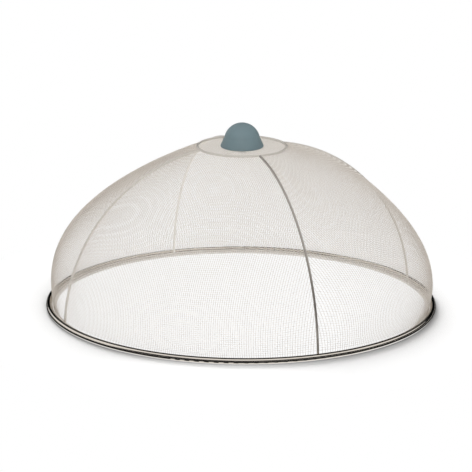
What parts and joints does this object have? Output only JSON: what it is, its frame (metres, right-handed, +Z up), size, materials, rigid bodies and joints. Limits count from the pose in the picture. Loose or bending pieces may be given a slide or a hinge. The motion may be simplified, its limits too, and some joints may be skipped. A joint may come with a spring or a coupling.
{
  "type": "buffet food cover dome",
  "caption": "Round wire-mesh food cover: mesh gores on a bent wire frame, a rolled steel rim that stands on the table, and a turning knob on the flat crown.",
  "frame": {"origin": "middle of the ring that the rim stands on, in the plane of the table", "axes": "+Z up along the knob's axis; one gore faces each of -Y (front), +X, +Y and -X, with the ribs between"},
  "size_m": [0.404, 0.404, 0.1925],
  "materials": {
    "woven_mesh": "plain-woven stainless wire, bright, see-through",
    "frame_wire": "drawn stainless wire, satin",
    "polished_rim": "rolled stainless strip, mirror polished",
    "knob_plastic": "moulded slate blue-grey plastic, fine satin",
    "insert_brass": "turned brass",
    "plated_steel": "bright plated steel"
  },
  "bodies": {
    "cover": {"rolled_rim": "polished_rim", "rim_core_wire": "frame_wire", "crown_ring": "frame_wire", "crown_mesh": "woven_mesh", "panel_front": "woven_mesh", "panel_right": "woven_mesh", "panel_back": "woven_mesh", "panel_left": "woven_mesh", "rib_front_right": "frame_wire", "rib_back_right": "frame_wire", "rib_back_left": "frame_wire", "rib_front_left": "frame_wire", "backing_washer": "plated_steel"},
    "knob": {"knob": "knob_plastic", "knob_insert": "insert_brass", "knob_screw": "plated_steel", "spring_washer": "plated_steel"}
  },
  "joints": [
    {"name": "knob_turn", "type": "hinge", "parent": "cover", "child": "knob", "pos_m": [0, 0, 0.1677], "axis": [0, 0, 1], "continuous": true}
  ]
}
